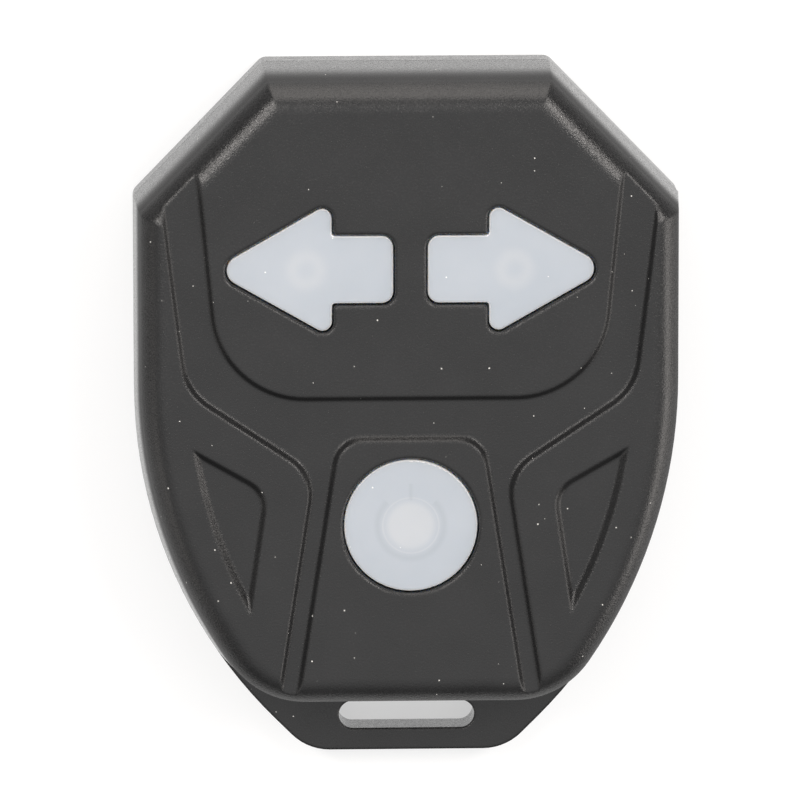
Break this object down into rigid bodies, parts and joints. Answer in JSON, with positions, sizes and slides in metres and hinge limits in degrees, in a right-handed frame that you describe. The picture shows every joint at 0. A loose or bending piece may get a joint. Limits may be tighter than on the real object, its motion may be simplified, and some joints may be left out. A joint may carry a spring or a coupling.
{
  "type": "bicycle tail light remote",
  "caption": "Hand remote of a turn-signal bicycle tail light: black two-part case, milky left and right arrow keys, a round power key and a strap slot.",
  "frame": {"origin": "middle of the flat back, centred on the overall width and length, at the back face", "axes": "+X to the right key, +Y from the strap slot to the top edge, +Z out of the keyed face"},
  "size_m": [0.0404, 0.0518, 0.013],
  "materials": {
    "case_black": "fine spark-eroded grain, matt",
    "key_milky": "translucent milky silicone, satin",
    "seal_rubber": "matt",
    "board_green": "solder mask over glass fibre",
    "switch_black": "moulded",
    "switch_steel": "stamped",
    "led_clear": "clear resin over a yellow chip",
    "chip_black": "moulded epoxy",
    "can_steel": "drawn can",
    "capacitor_tan": "fired ceramic with tinned ends",
    "resistor_black": "glazed with tinned ends",
    "cell_steel": "nickel-plated, brushed",
    "holder_black": "moulded",
    "contact_plated": "nickel-plated spring sheet",
    "screw_black": "blackened steel"
  },
  "bodies": {
    "case": {"front_shell": "case_black", "rear_shell": "case_black", "keypad_mat": "key_milky", "case_seal": "seal_rubber", "circuit_board": "board_green", "left_switch_base": "switch_black", "right_switch_base": "switch_black", "round_switch_base": "switch_black", "left_switch_cover": "switch_steel", "right_switch_cover": "switch_steel", "round_switch_cover": "switch_steel", "left_led": "led_clear", "right_led": "led_clear", "round_led": "led_clear", "radio_chip": "chip_black", "crystal_can": "can_steel", "chip_capacitors": "capacitor_tan", "chip_resistors": "resistor_black", "coin_cell": "cell_steel", "cell_holder": "holder_black", "cell_clip": "contact_plated", "cell_contact": "contact_plated", "case_screws": "screw_black", "board_screws": "screw_black"},
    "left_key": {"left_arrow_key": "key_milky", "left_switch_plunger": "switch_black"},
    "right_key": {"right_arrow_key": "key_milky", "right_switch_plunger": "switch_black"},
    "round_key": {"round_key": "key_milky", "round_switch_plunger": "switch_black"},
    "battery_cover": {"battery_cover": "case_black", "battery_cover_seal": "seal_rubber"}
  },
  "joints": [
    {"name": "left_key_press", "type": "slide", "parent": "case", "child": "left_key", "axis": [0, 0, -1], "range_m": [0, 0.0003], "stiffness_N_per_m": 1500},
    {"name": "right_key_press", "type": "slide", "parent": "case", "child": "right_key", "axis": [0, 0, -1], "range_m": [0, 0.0003], "stiffness_N_per_m": 1500},
    {"name": "round_key_press", "type": "slide", "parent": "case", "child": "round_key", "axis": [0, 0, -1], "range_m": [0, 0.0003], "stiffness_N_per_m": 1500},
    {"name": "battery_cover_turn", "type": "hinge", "parent": "case", "child": "battery_cover", "pos_m": [0, 0.002, 0.0015], "axis": [0, 0, 1], "range_deg": [0, 45]}
  ]
}
